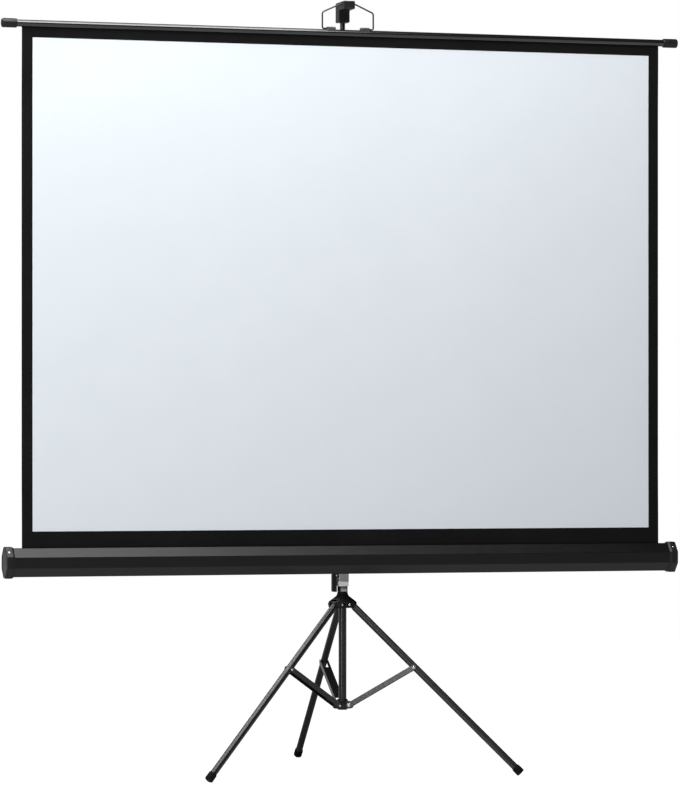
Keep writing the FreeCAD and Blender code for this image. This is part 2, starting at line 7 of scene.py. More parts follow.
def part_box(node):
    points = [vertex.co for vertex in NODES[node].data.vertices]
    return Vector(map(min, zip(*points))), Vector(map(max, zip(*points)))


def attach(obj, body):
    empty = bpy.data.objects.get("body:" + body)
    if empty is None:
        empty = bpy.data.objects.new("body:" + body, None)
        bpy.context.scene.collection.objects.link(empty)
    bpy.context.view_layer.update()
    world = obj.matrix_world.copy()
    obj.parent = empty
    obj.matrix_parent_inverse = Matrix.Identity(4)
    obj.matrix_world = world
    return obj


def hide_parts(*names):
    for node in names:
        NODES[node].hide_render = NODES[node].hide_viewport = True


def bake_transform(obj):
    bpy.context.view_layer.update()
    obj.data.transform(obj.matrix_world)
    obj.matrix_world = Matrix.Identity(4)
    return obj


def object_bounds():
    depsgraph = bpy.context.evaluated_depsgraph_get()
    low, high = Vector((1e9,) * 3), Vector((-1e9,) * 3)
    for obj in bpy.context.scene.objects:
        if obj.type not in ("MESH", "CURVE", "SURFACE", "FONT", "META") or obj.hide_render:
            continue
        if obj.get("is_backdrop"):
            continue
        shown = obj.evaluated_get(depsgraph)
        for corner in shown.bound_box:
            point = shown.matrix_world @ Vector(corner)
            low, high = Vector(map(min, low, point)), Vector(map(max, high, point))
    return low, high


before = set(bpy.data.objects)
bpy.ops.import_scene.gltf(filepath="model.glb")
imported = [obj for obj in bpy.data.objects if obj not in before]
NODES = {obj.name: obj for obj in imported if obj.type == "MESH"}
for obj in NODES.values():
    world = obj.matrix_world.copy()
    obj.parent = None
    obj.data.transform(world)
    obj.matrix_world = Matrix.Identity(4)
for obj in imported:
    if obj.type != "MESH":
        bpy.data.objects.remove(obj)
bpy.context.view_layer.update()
SCENE = bpy.context.scene

# Sizes in millimetres, the same as the construction's.
sheet_low, sheet_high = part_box("screen_fabric")
SY = round(500.0 * (sheet_low[1] + sheet_high[1]), 3)     # plane of the cloth and of the top bar
PY = SY + 58.0            # axis of the post
CY = SY + 3.0             # middle of the case
RY = SY + 16.6            # axis of the roller
BZ = 2336.0               # axis of the top bar
OCT = [(-12.0, 718.0), (-36.0, 690.0), (-36.0, 655.7), (-12.0, 629.0),
       (12.0, 629.0), (36.0, 655.7), (36.0, 690.0), (12.0, 718.0)]
AZIM = {"left": 208.0, "right": 328.0, "rear": 88.0}
LEG, ALPHA = 770.276, 46.4203
BRACE, BETA = 245.130, 59.7417


# ------------------------------------------------------------------ materials
class Tree:
    """A small helper that wires the nodes of one material."""

    def __init__(self, name):
        self.mat = bpy.data.materials.new(name)
        self.mat.use_nodes = True
        self.nt = self.mat.node_tree
        self.nt.nodes.clear()
        self.out = self.add("ShaderNodeOutputMaterial")
        self.bsdf = self.add("ShaderNodeBsdfPrincipled")
        self.link(self.bsdf.outputs["BSDF"], self.out.inputs["Surface"])
        self.coord = self.add("ShaderNodeTexCoord").outputs["Object"]

    def add(self, kind, **values):
        n = self.nt.nodes.new(kind)
        for k, v in values.items():
            setattr(n, k, v)
        return n

    def link(self, a, b):
        self.nt.links.new(a, b)

    def mapped(self, scale=(1, 1, 1), rot=(0, 0, 0)):
        n = self.add("ShaderNodeMapping")
        n.inputs["Scale"].default_value = scale
        n.inputs["Rotation"].default_value = rot
        self.link(self.coord, n.inputs["Vector"])
        return n.outputs["Vector"]

    def noise(self, scale, detail=3.0, rough=0.55, vector=None, distortion=0.0):
        n = self.add("ShaderNodeTexNoise")
        n.inputs["Scale"].default_value = scale
        n.inputs["Detail"].default_value = detail
        n.inputs["Roughness"].default_value = rough
        n.inputs["Distortion"].default_value = distortion
        self.link(self.coord if vector is None else vector, n.inputs["Vector"])
        return n.outputs["Fac"]

    def ranged(self, value, lo, hi, out_lo, out_hi):
        n = self.add("ShaderNodeMapRange")
        for i, v in enumerate((lo, hi, out_lo, out_hi)):
            n.inputs[i + 1].default_value = v
        self.link(value, n.inputs[0])
        return n.outputs[0]

    def math(self, op, a, b):
        n = self.add("ShaderNodeMath", operation=op)
        for i, v in enumerate((a, b)):
            if isinstance(v, (int, float)):
                n.inputs[i].default_value = v
            else:
                self.link(v, n.inputs[i])
        return n.outputs[0]

    def mix(self, fac, a, b):
        n = self.add("ShaderNodeMix", data_type="RGBA")
        self.link(fac, n.inputs[0])
        for i, v in ((6, a), (7, b)):
            if isinstance(v, tuple):
                n.inputs[i].default_value = (*v, 1.0)
            else:
                self.link(v, n.inputs[i])
        return n.outputs[2]

    def bump(self, height, strength, distance, before=None):
        n = self.add("ShaderNodeBump")
        n.inputs["Strength"].default_value = strength
        n.inputs["Distance"].default_value = distance
        self.link(height, n.inputs["Height"])
        if before is not None:
            self.link(before, n.inputs["Normal"])
        return n.outputs["Normal"]

    def set(self, **values):
        for k, v in values.items():
            self.bsdf.inputs[k.replace("_", " ")].default_value = v

    def to(self, name, socket):
        self.link(socket, self.bsdf.inputs[name])

    def edges(self, radius=0.0012):
        """About 0 on flats and 1 along outside edges, for worn paint."""
        bev = self.add("ShaderNodeBevel", samples=4)
        bev.inputs["Radius"].default_value = radius
        geo = self.add("ShaderNodeNewGeometry")
        dot = self.add("ShaderNodeVectorMath", operation="DOT_PRODUCT")
        self.link(bev.outputs["Normal"], dot.inputs[0])
        self.link(geo.outputs["Normal"], dot.inputs[1])
        return self.ranged(dot.outputs["Value"], 0.985, 0.86, 0.0, 1.0)


def painted(name, dark, light, rough, grain_scale, grain, peel=0.0, wear=None, coat=0.0, gloss=0.3, vary=0.045):
    """Paint on metal: broad tone drift, fine grain, faint scuffs, thin wear on edges."""
    t = Tree(name)
    drift = t.ranged(t.noise(3.1, 2.0), 0.35, 0.65, 0.0, 1.0)
    colour = t.mix(drift, dark, light)
    scuff = t.ranged(t.noise(26.0, 5.0, 0.7, t.mapped((1.0, 1.0, 0.35), (0.3, 0.2, 0.5)), 0.4), 0.66, 0.78, 0.0, 1.0)
    if wear is not None:
        amount = t.math("MULTIPLY", t.edges(), t.ranged(t.noise(85.0, 4.0), 0.42, 0.72, 0.0, 0.8))
        colour = t.mix(amount, colour, wear)
    t.to("Base Color", colour)
    r = t.math("ADD", t.ranged(t.noise(140.0, 4.0), 0.3, 0.7, rough - vary, rough + vary), t.math("MULTIPLY", scuff, 0.08))
    t.to("Roughness", r)
    n = t.bump(t.noise(grain_scale, 2.0), grain, 0.0004)
    if peel:
        n = t.bump(t.noise(240.0, 1.0), peel, 0.0006, n)
    t.to("Normal", n)
    t.set(Specular_IOR_Level=gloss)
    if coat:
        t.set(Coat_Weight=coat, Coat_Roughness=0.10)
    return t.mat


def moulded(name, dark, light, rough, grain_scale=1500.0, grain=0.22, wear=None, gloss=0.3):
    """Moulded plastic: spark-eroded grain, slight flow marks, rubbed edges."""
    t = Tree(name)
    flow = t.ranged(t.noise(17.0, 2.0, 0.5, t.mapped((1.0, 1.0, 0.25))), 0.35, 0.65, 0.0, 1.0)
    colour = t.mix(flow, dark, light)
    if wear is not None:
        colour = t.mix(t.math("MULTIPLY", t.edges(0.0016), t.ranged(t.noise(120.0, 3.0), 0.35, 0.75, 0.1, 0.9)), colour, wear)
    t.to("Base Color", colour)
    t.to("Roughness", t.ranged(t.noise(210.0, 4.0), 0.3, 0.7, rough - 0.06, rough + 0.07))
    t.to("Normal", t.bump(t.noise(grain_scale, 3.0, 0.6), grain, 0.0004))
    t.set(Specular_IOR_Level=gloss)
    return t.mat


def plated(name, dark, light, rough, brushed=(1.0, 1.0, 14.0), grain=0.16):
    """Plated or drawn steel: drawing lines, cloudy tone, small spots."""
    t = Tree(name)
    lines = t.noise(700.0, 3.0, 0.6, t.mapped(brushed))
    cloud = t.noise(55.0, 4.0, 0.6)
    both = t.math("ADD", t.math("MULTIPLY", lines, 0.5), t.math("MULTIPLY", cloud, 0.5))
    t.to("Base Color", t.mix(t.ranged(both, 0.36, 0.64, 0.0, 1.0), dark, light))
    t.to("Roughness", t.ranged(cloud, 0.3, 0.7, rough - 0.07, rough + 0.09))
    t.to("Normal", t.bump(lines, grain, 0.0003))
    t.set(Metallic=1.0)
    return t.mat


def cloth_material(name, dark, light, rough, weave, sheen=0.0, gloss=0.3):
    """Coated glass-fibre cloth: fine plain weave under a matt coat."""
    t = Tree(name)
    x = t.add("ShaderNodeTexWave", wave_type="BANDS", bands_direction="X", wave_profile="SIN")
    z = t.add("ShaderNodeTexWave", wave_type="BANDS", bands_direction="Z", wave_profile="SIN")
    for w in (x, z):
        w.inputs["Scale"].default_value = 240.0
        w.inputs["Distortion"].default_value = 0.6
        w.inputs["Detail"].default_value = 1.0
        w.inputs["Detail Scale"].default_value = 2.0
        t.link(t.coord, w.inputs["Vector"])
    threads = t.math("MAXIMUM", x.outputs["Fac"], z.outputs["Fac"])
    mottle = t.noise(9.0, 5.0, 0.6)
    t.to("Base Color", t.mix(t.ranged(mottle, 0.32, 0.68, 0.0, 1.0), dark, light))
    t.to("Roughness", t.ranged(t.noise(420.0, 3.0), 0.3, 0.7, rough - 0.05, min(1.0, rough + 0.05)))
    n = t.bump(threads, weave, 0.00012)
    n = t.bump(t.noise(2300.0, 2.0), 0.10, 0.0002, n)
    t.to("Normal", n)
    if sheen:
        t.set(Sheen_Weight=sheen, Sheen_Roughness=0.5)
    t.set(Specular_IOR_Level=gloss)
    return t.mat


GREY_WEAR = (0.045, 0.045, 0.047)
M = {
    "black_tube": painted("black_tube", (0.0050, 0.0050, 0.0054), (0.0080, 0.0080, 0.0085), 0.25, 1900.0, 0.012, peel=0.006, gloss=0.52, vary=0.015),
    "leg_tube": painted("leg_tube", (0.0050, 0.0050, 0.0054), (0.0080, 0.0080, 0.0085), 0.36, 1900.0, 0.006, peel=0.003, gloss=0.58, vary=0.008),
    "bar_tube": painted("bar_tube", (0.005, 0.005, 0.0055), (0.008, 0.008, 0.0085), 0.17, 1900.0, 0.015, peel=0.008, coat=0.6, gloss=0.6, vary=0.02),
    "rod_tube": painted("rod_tube", (0.005, 0.005, 0.0054), (0.008, 0.008, 0.0085), 0.16, 1900.0, 0.015, peel=0.008, coat=1.0, gloss=0.8, vary=0.02),
    "black_steel": painted("black_steel", (0.0065, 0.0065, 0.007), (0.011, 0.011, 0.0115), 0.34, 1500.0, 0.09, wear=GREY_WEAR),
    "brace_steel": painted("brace_steel", (0.0065, 0.0065, 0.007), (0.011, 0.011, 0.0115), 0.27, 1500.0, 0.05, wear=GREY_WEAR, gloss=0.62),
    "case_paint": painted("case_paint", (0.0026, 0.0026, 0.0025), (0.0042, 0.0042, 0.0040), 0.34, 2100.0, 0.12, wear=(0.030, 0.030, 0.031), gloss=0.36),
    "black_nylon": moulded("black_nylon", (0.0055, 0.0055, 0.006), (0.0090, 0.0090, 0.0095), 0.42, wear=(0.035, 0.035, 0.037), gloss=0.34),
    # The leg collar gets the same black nylon made darker and less glossy. Its darker colour is painted shade on the
    # collar's cone, which catches the rim and overhead lights.
    "collar_nylon_painted_shade": moulded("collar_nylon_painted_shade", (0.0045, 0.0045, 0.0048), (0.0075, 0.0075, 0.0079), 0.48, wear=(0.022, 0.022, 0.024), gloss=0.16),
    "cap_plastic": moulded("cap_plastic", (0.0052, 0.0052, 0.0054), (0.0085, 0.0085, 0.0087), 0.40, 1300.0, 0.25, wear=(0.038, 0.038, 0.039), gloss=0.34),
    "foot_rubber": moulded("foot_rubber", (0.0025, 0.0025, 0.0025), (0.006, 0.006, 0.006), 0.75, 900.0, 0.4, gloss=0.12),
    "bright_steel": plated("bright_steel", (0.66, 0.66, 0.67), (0.82, 0.82, 0.83), 0.22, (1, 1, 1), 0.06),
    "zinc_steel": plated("zinc_steel", (0.33, 0.335, 0.34), (0.48, 0.485, 0.49), 0.38, (9.0, 9.0, 1.0), 0.16),
    "bail_wire": plated("bail_wire", (0.05, 0.05, 0.052), (0.095, 0.095, 0.097), 0.38, (1, 1, 1), 0.08),
    "dark_zinc": plated("dark_zinc", (0.11, 0.11, 0.113), (0.19, 0.19, 0.193), 0.40, (6.0, 1.0, 1.0), 0.12),
    "ear_zinc": plated("ear_zinc", (0.030, 0.030, 0.031), (0.055, 0.055, 0.056), 0.42, (6.0, 1.0, 1.0), 0.12),
    "guide_plastic": moulded("guide_plastic", (0.88, 0.88, 0.87), (0.94, 0.94, 0.93), 0.38, 1500.0, 0.10),
    "cloth_white": cloth_material("cloth_white", (0.752, 0.802, 0.852), (0.764, 0.814, 0.864), 0.86, 0.16, 0.04),
    "cloth_black": cloth_material("cloth_black", (0.0036, 0.0036, 0.0038), (0.0058, 0.0058, 0.0061), 0.66, 0.20, gloss=0.12),
    "cloth_back": cloth_material("cloth_back", (0.008, 0.008, 0.0085), (0.012, 0.012, 0.0125), 0.74, 0.26, 0.03, gloss=0.2),
    "felt": moulded("felt", (0.008, 0.008, 0.008), (0.024, 0.024, 0.024), 0.93, 2600.0, 0.9, gloss=0.1),
}


# ------------------------------------------------------------------ mesh tools
def T(x, y, z):
    return Matrix.Translation((x, y, z))


def rot(deg, axis):
    return Matrix.Rotation(math.radians(deg), 4, axis)


def aimed(point, direction):
    """Local Z turned to a direction, at a point."""
    q = Vector((0, 0, 1)).rotation_difference(Vector(direction).normalized())
    return T(*point) @ q.to_matrix().to_4x4()


def ring_faces(bm, a, b, mat=0):
    n = max(len(a), len(b))
    for i in range(n):
        j = (i + 1) % n
        if len(a) == 1 and len(b) == 1:
            continue
        if len(a) == 1:
            vs = (a[0], b[i], b[j])
        elif len(b) == 1:
            vs = (a[i], a[j], b[0])
        else:
            vs = (a[i], a[j], b[j], b[i])
        f = bm.faces.new(vs)
        f.material_index = mat


def lathe(bm, prof, segs=48, place=None, closed=False, mat=0, phase=0.0):
    """Turns (radius, height) points about local Z. A radius of 0 makes a pole."""
    place = place or Matrix()
    rings = []
    for r, h in prof:
        if r < 1e-6:
            rings.append([bm.verts.new(place @ Vector((0, 0, h)))])
        else:
            rings.append([bm.verts.new(place @ Vector((r * math.cos(phase + 2 * math.pi * i / segs), r * math.sin(phase + 2 * math.pi * i / segs), h)))
                          for i in range(segs)])
    for a, b in zip(rings, rings[1:]):
        ring_faces(bm, a, b, mat)
    if closed:
        ring_faces(bm, rings[-1], rings[0], mat)
    return rings


def loft(bm, loops, start=True, end=True, closed=False, mat=0):
    """Skins loops of equal length, with flat faces over the ends."""
    rings = [[bm.verts.new(p) for p in loop] for loop in loops]
    for a, b in zip(rings, rings[1:]):
        ring_faces(bm, a, b, mat)
    if closed:
        ring_faces(bm, rings[-1], rings[0], mat)
        return rings
    if start:
        bm.faces.new(list(reversed(rings[0]))).material_index = mat
    if end:
        bm.faces.new(rings[-1]).material_index = mat
    return rings


def rounded(pts, radius, n=5, closed=True):
    """Corners of a polygon or polyline replaced by arcs. radius may be one number or one per point."""
    out = []
    count = len(pts)
    for i, p in enumerate(pts):
        r = radius[i] if isinstance(radius, (list, tuple)) else radius
        b = Vector(p)
        if (not closed and i in (0, count - 1)) or r <= 0:
            out.append(b)
            continue
        u = (Vector(pts[i - 1]) - b).normalized()
        w = (Vector(pts[(i + 1) % count]) - b).normalized()
        half = 0.5 * u.angle(w)
        tl = r / math.tan(half)
        p0, p1 = b + u * tl, b + w * tl
        c = b + (u + w).normalized() * (r / math.sin(half))
        v0, v1 = p0 - c, p1 - c
        total = v0.angle(v1)
        for k in range(n + 1):
            s = k / n
            q = (v0 * math.sin((1 - s) * total) + v1 * math.sin(s * total)) / math.sin(total)
            out.append(c + q)
    return out


def grown(pts, d):
    """A convex loop offset outwards by d."""
    n = len(pts)
    area = sum(pts[i][0] * pts[(i + 1) % n][1] - pts[(i + 1) % n][0] * pts[i][1] for i in range(n))
    sgn = 1 if area > 0 else -1
    lines = []
    for i in range(n):
        (x0, y0), (x1, y1) = pts[i], pts[(i + 1) % n]
        l = math.hypot(x1 - x0, y1 - y0)
        nx, ny = sgn * (y1 - y0) / l, -sgn * (x1 - x0) / l
        lines.append((nx, ny, nx * x0 + ny * y0 + d))
    out = []
    for i in range(n):
        a1, b1, c1 = lines[i - 1]
        a2, b2, c2 = lines[i]
        det = a1 * b2 - a2 * b1
        out.append(((c1 * b2 - c2 * b1) / det, (a1 * c2 - a2 * c1) / det))
    return out


def dome(r, h, n=6, base=0.0):
    """Profile of a rivet head: a low spherical cap on a short rim."""
    big = (r * r + h * h) / (2 * h)
    top = math.asin(min(1.0, r / big))
    return [(big * math.sin(top * (1 - k / n)), base + h - big + big * math.cos(top * (1 - k / n))) for k in range(n + 1)]


def fillet_arc(cx, cy, r, a0, a1, n=5):
    return [(cx + r * math.cos(math.radians(a0 + (a1 - a0) * k / n)), cy + r * math.sin(math.radians(a0 + (a1 - a0) * k / n))) for k in range(n + 1)]


def block(bm, lo, hi, bevel=1.0, segs=3, place=None, mat=0):
    """A box with rounded edges."""
    made = bmesh.ops.create_cube(bm, size=1.0)
    vs = made["verts"]
    lo, hi = Vector(lo), Vector(hi)
    for v in vs:
        v.co = Vector((lo[i] + (v.co[i] + 0.5) * (hi[i] - lo[i]) for i in range(3)))
    es = list({e for v in vs for e in v.link_edges})
    for f in {f for v in vs for f in v.link_faces}:
        f.material_index = mat
    if bevel > 0:
        done = bmesh.ops.bevel(bm, geom=es, offset=bevel, segments=segs, profile=0.5, affect="EDGES")
        fs = done["faces"]
        vs = list({v for f in fs for v in f.verts})
        for f in {f for v in vs for f in v.link_faces}:
            f.material_index = mat
    if place is not None:
        bmesh.ops.transform(bm, matrix=place, verts=vs)
    return vs


def sweep(bm, pts, radius, segs=16, mat=0, tip=True):
    """A round wire along points, with rounded tips."""
    pts = [Vector(p) for p in pts]
    tang = []
    for i in range(len(pts)):
        a, b = pts[max(0, i - 1)], pts[min(len(pts) - 1, i + 1)]
        tang.append((b - a).normalized())
    side = tang[0].orthogonal().normalized()
    rings = []

    def ring(c, t, s, r):
        w = t.cross(s)
        return [bm.verts.new(c + (s * math.cos(2 * math.pi * k / segs) + w * math.sin(2 * math.pi * k / segs)) * r) for k in range(segs)]

    if tip:
        rings.append([bm.verts.new(pts[0] - tang[0] * radius * 0.5)])
        rings.append(ring(pts[0] - tang[0] * radius * 0.35, tang[0], side, radius * 0.7))
    for c, t in zip(pts, tang):
        side = (side - t * side.dot(t)).normalized()
        rings.append(ring(c, t, side, radius))
    if tip:
        rings.append(ring(pts[-1] + tang[-1] * radius * 0.35, tang[-1], side, radius * 0.7))
        rings.append([bm.verts.new(pts[-1] + tang[-1] * radius * 0.5)])
    for a, b in zip(rings, rings[1:]):
        ring_faces(bm, a, b, mat)
    if not tip:
        bm.faces.new(list(reversed(rings[0]))).material_index = mat
        bm.faces.new(rings[-1]).material_index = mat


def plain_object(name, bm):
    """A mesh object in millimetres, for use as a blank or a cutter."""
    bmesh.ops.recalc_face_normals(bm, faces=bm.faces)
    me = bpy.data.meshes.new(name)
    bm.to_mesh(me)
    bm.free()
    ob = bpy.data.objects.new(name, me)
    SCENE.collection.objects.link(ob)
    return ob


def carve(blank, *steps):
    """Booleans in turn on a blank: ('DIFFERENCE' or 'UNION', bmesh). Returns the result as a bmesh and drops the helpers."""
    ob = plain_object("blank", blank)
    helpers = []
    for kind, tool in steps:
        h = plain_object("tool", tool)
        helpers.append(h)
        m = ob.modifiers.new("cut", "BOOLEAN")
        m.operation = kind
        m.solver = "EXACT"
        m.object = h
    bpy.context.view_layer.update()
    dg = bpy.context.evaluated_depsgraph_get()
    bm = bmesh.new()
    me = bpy.data.meshes.new_from_object(ob.evaluated_get(dg))
    bm.from_mesh(me)
    bpy.data.meshes.remove(me)
    for h in helpers + [ob]:
        data = h.data
        bpy.data.objects.remove(h)
        bpy.data.meshes.remove(data)
    bmesh.ops.remove_doubles(bm, verts=bm.verts, dist=1e-4)
    bmesh.ops.dissolve_degenerate(bm, edges=bm.edges, dist=1e-4)
    return bm


def piece(name, bm, body, mats, nodes=(), angle=34.0, weighted=False):
    """Puts a mesh made in millimetres into the scene, riding on a body in place of its nodes."""
    bmesh.ops.scale(bm, vec=(0.001, 0.001, 0.001), verts=bm.verts)
    bmesh.ops.recalc_face_normals(bm, faces=bm.faces)
    me = bpy.data.meshes.new(name)
    bm.to_mesh(me)
    bm.free()
    for p in me.polygons:
        p.use_smooth = True
    me.set_sharp_from_angle(angle=math.radians(angle))
    ob = bpy.data.objects.new(name, me)
    SCENE.collection.objects.link(ob)
    for m in mats:
        me.materials.append(M[m])
    if weighted:
        w = ob.modifiers.new("normals", "WEIGHTED_NORMAL")
        w.keep_sharp = True
        w.weight = 80
    if body:
        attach(ob, body)
    if nodes:
        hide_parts(*nodes)
    return ob


def new():
    return bmesh.new()


# ------------------------------------------------------------------ the cloth
XS = [-1050.0, -1042.0, -1030.0, -1016.0]
XS += [-1016.0 + 2032.0 * k / 96 for k in range(1, 96)]
XS += [1016.0, 1030.0, 1042.0, 1050.0]
ZS = [674.0, 690.0, 706.0, 718.0, 730.0, 742.0, 756.0, 769.3]
ZS += [769.3 + 1524.0 * k / 84 for k in range(1, 84)]
ZS += [2293.3, 2303.0, 2313.0, 2321.0, 2331.0]


def ripple(x, z):
    """Depth of the hanging cloth: soft vertical waves that die out at the bar and the slot, and edges that curl back a little."""
    s = min(1.0, max(0.0, (z - 735.0) / 260.0))
    e = min(1.0, max(0.0, (2306.0 - z) / 220.0))
    env = (s * s * (3 - 2 * s)) * (e * e * (3 - 2 * e))
    u = x / 1000.0
    w = z / 1000.0
    wave = 0.75 * math.sin(5.1 * u + 0.7 + 0.35 * w) + 0.45 * math.sin(9.7 * u - 1.1 * w + 2.0) + 0.25 * math.sin(17.0 * u + 2.3 * w)
    curl = max(0.0, (abs(x) - 930.0) / 120.0)
    return env * (wave + 2.4 * curl * curl)


bm = new()
sheets = []
for side in (-0.3, 0.3):
    grid = [[bm.verts.new((x, SY + side + ripple(x, z), z)) for x in XS] for z in ZS]
    sheets.append(grid)
for k, grid in enumerate(sheets):
    for i in range(len(ZS) - 1):
        for j in range(len(XS) - 1):
            q = (grid[i][j], grid[i][j + 1], grid[i + 1][j + 1], grid[i + 1][j])
            f = bm.faces.new(q if k == 0 else tuple(reversed(q)))
            zm, xm = 0.5 * (ZS[i] + ZS[i + 1]), 0.5 * (XS[j] + XS[j + 1])
            white = abs(xm) < 1016.0 and 769.3 < zm < 2293.3
            f.material_index = 2 if k else (0 if white else 1)
nz, nx = len(ZS) - 1, len(XS) - 1
rim = [(0, j) for j in range(nx)] + [(i, nx) for i in range(nz)] + [(nz, j) for j in range(nx, 0, -1)] + [(i, 0) for i in range(nz, 0, -1)]
for a, b in zip(rim, rim[1:] + rim[:1]):
    f = bm.faces.new((sheets[0][a[0]][a[1]], sheets[1][a[0]][a[1]], sheets[1][b[0]][b[1]], sheets[0][b[0]][b[1]]))
    f.material_index = 1
cloth = piece("screen_cloth", bm, None, ["cloth_white", "cloth_black", "cloth_back"], ["screen_fabric"], angle=60.0)
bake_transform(cloth)

# ------------------------------------------------------------------ case
WALL = 1.2
outer = rounded([(-7.0, 718.0)] + OCT + [(1.0, 718.0)], 3.2, 6, closed=False)
inner = rounded([(-8.2, 718.0 - WALL)] + grown(OCT, -WALL) + [(2.2, 718.0 - WALL)], 2.0, 6, closed=False)
section = outer + [Vector((1.0, 712.4)), Vector((2.2, 712.4))] + list(reversed(inner)) + [Vector((-8.2, 712.4)), Vector((-7.0, 712.4))]
bm = new()
loft(bm, [[(x, CY + p[0], p[1]) for p in section] for x in (-1086.0, -700.0, -350.0, 0.0, 350.0, 700.0, 1086.0)])
piece("case_skin", bm, "carriage", ["case_paint"], ["case_shell"], angle=30.0, weighted=True)


def cap_loop(sx, x, grow, r):
    return [(sx * x, CY + p[0], p[1]) for p in rounded(grown(OCT, grow), r, 5)]


def cap_scaled(sx, x, k):
    mid = 673.5
    return [(sx * x, CY + p[0] * k, mid + (p[1] - mid) * k) for p in rounded(grown(OCT, 2.0), 5.0, 5)]


CAP_N = Vector((0, -28.0, 24.0)).normalized()
for side, sx in (("left", -1), ("right", 1)):
    bm = new()
    loops = [cap_loop(sx, 1086.9, 0.12, 3.2), cap_loop(sx, 1078.0, 0.12, 3.2), cap_loop(sx, 1078.0, 1.0, 3.6),
             cap_loop(sx, 1078.8, 1.9, 4.0), cap_loop(sx, 1083.6, 4.0, 5.0), cap_loop(sx, 1084.8, 4.5, 5.2),
             cap_loop(sx, 1100.8, 4.5, 5.2), cap_loop(sx, 1102.6, 4.15, 5.2), cap_loop(sx, 1104.1, 3.2, 5.0), cap_loop(sx, 1105.0, 1.6, 4.6),
             cap_scaled(sx, 1105.0, 0.93), cap_scaled(sx, 1104.6, 0.915), cap_scaled(sx, 1103.7, 0.905),
             cap_scaled(sx, 1103.7, 0.60), cap_scaled(sx, 1103.7, 0.25)]
    loft(bm, loops)
    at = Vector((sx * 1093.2, CY - 24.0, 704.0)) + CAP_N * 4.5
    tool = new()
    lathe(tool, [(0, -2.3), (5.0, -2.3), (5.6, -1.9), (5.6, 0.0), (6.6, 1.2), (6.6, 6.0), (0, 6.0)], 40, aimed(at, CAP_N))
    bm = carve(bm, ("DIFFERENCE", tool))
    piece("end_cap_moulding_" + side, bm, "carriage", ["cap_plastic"], ["end_cap_" + side], angle=28.0, weighted=True)


def cross_head(at, direction, r, h, turn=0.0):
    """Pan-head screw with a cross recess."""
    m = aimed(at, direction) @ rot(turn, "Z")
    head = new()
    lathe(head, [(0, -0.4), (r, -0.4), (r, 0.35 * h), (0.93 * r, 0.62 * h), (0.72 * r, 0.86 * h), (0.40 * r, 0.98 * h), (0, h)], 36, m)
    w, l = 0.16 * r, 0.62 * r
    one = new()
    block(one, (-l, -w, 0.45 * h), (l, w, 2 * h), 0.0, 1, m)
    two = new()
    block(two, (-w, -l, 0.45 * h), (w, l, 2 * h), 0.0, 1, m)
    return carve(head, ("DIFFERENCE", one), ("DIFFERENCE", two))


def joined(meshes):
    """Several bmeshes as one."""
    total = new()
    for b in meshes:
        me = bpy.data.meshes.new("part")
        b.to_mesh(me)
        b.free()
        total.from_mesh(me)
        bpy.data.meshes.remove(me)
    return total


heads = []
for sx, turn in ((-1, 20.0), (1, 55.0)):
    at = Vector((sx * 1093.2, CY - 24.0, 704.0)) + CAP_N * 2.4
    heads.append(cross_head(at, CAP_N, 4.4, 2.7, turn))
piece("end_cap_pan_screws", joined(heads), "carriage", ["bright_steel"], ["end_cap_screws"])

# wound cloth on the roller: a spiral of the sheet
bm = new()
spiral = []
turns, n = 1.9, 150
for k in range(n + 1):
    a = 2 * math.pi * turns * k / n
    r = 16.2 - 0.6 * a / (2 * math.pi)
    spiral.append((r * math.cos(math.pi - a), r * math.sin(math.pi - a)))
back = []
for k in range(n, -1, -1):
    a = 2 * math.pi * turns * k / n
    r = 16.2 - 0.55 - 0.6 * a / (2 * math.pi)
    back.append((max(r, 15.03) * math.cos(math.pi - a), max(r, 15.03) * math.sin(math.pi - a)))
loop = spiral + back
loft(bm, [[(x, RY + p[0], 674.0 + p[1]) for p in loop] for x in (-1048.0, 0.0, 1048.0)])
piece("wound_cloth", bm, "roller", ["cloth_back"], ["fabric_roll"], angle=50.0)

# torsion spring in the roller
bm = new()
coil = []
turns, per = 80, 14
for k in range(turns * per + 1):
    a = 2 * math.pi * k / per
    coil.append((-999.0 + 498.0 * k / (turns * per), RY + 9.2 * math.cos(a), 674.0 + 9.2 * math.sin(a)))
sweep(bm, coil, 1.5, 8)
piece("roller_coil_spring", bm, "roller", ["zinc_steel"], ["roller_spring"])

# ------------------------------------------------------------------ top bar
bm = new()
a0, a1 = math.asin(1.2 / 11.0), math.asin(1.2 / 10.0)
arc_out = [(11.0 * math.sin(a), -11.0 * math.cos(a)) for a in [a0 + (2 * math.pi - 2 * a0) * k / 84 for k in range(85)]]
arc_in = [(10.0 * math.sin(a), -10.0 * math.cos(a)) for a in [2 * math.pi - a1 - (2 * math.pi - 2 * a1) * k / 84 for k in range(85)]]
loop = arc_out + arc_in
loft(bm, [[(x, SY + p[0], BZ + p[1]) for p in loop] for x in (-1090.0, -540.0, 0.0, 540.0, 1090.0)])
piece("top_bar_tube", bm, "top", ["bar_tube"], ["top_bar"], angle=40.0)

for side, sx in (("left", -1), ("right", 1)):
    bm = new()
    prof = [(0, 25.0), (11.08, 25.0), (11.08, 0.0), (12.6, 0.0), (13.6, 0.45), (14.25, 1.4), (14.5, 2.6), (14.5, 6.2), (14.1, 6.8), (14.1, 8.0), (14.5, 8.6),
            (14.5, 43.0)] + fillet_arc(9.9, 43.4, 4.6, 0, 78, 7) + [(8.6, 48.0), (8.0, 47.55), (7.6, 47.3), (0, 47.2)]
    m = T(sx * 1066.0, SY, BZ) @ rot(90.0 * sx, "Y")
    lathe(bm, prof, 64, m)
    piece("bar_end_cap_" + side, bm, "top", ["cap_plastic"], ["bar_cap_" + side], angle=32.0)

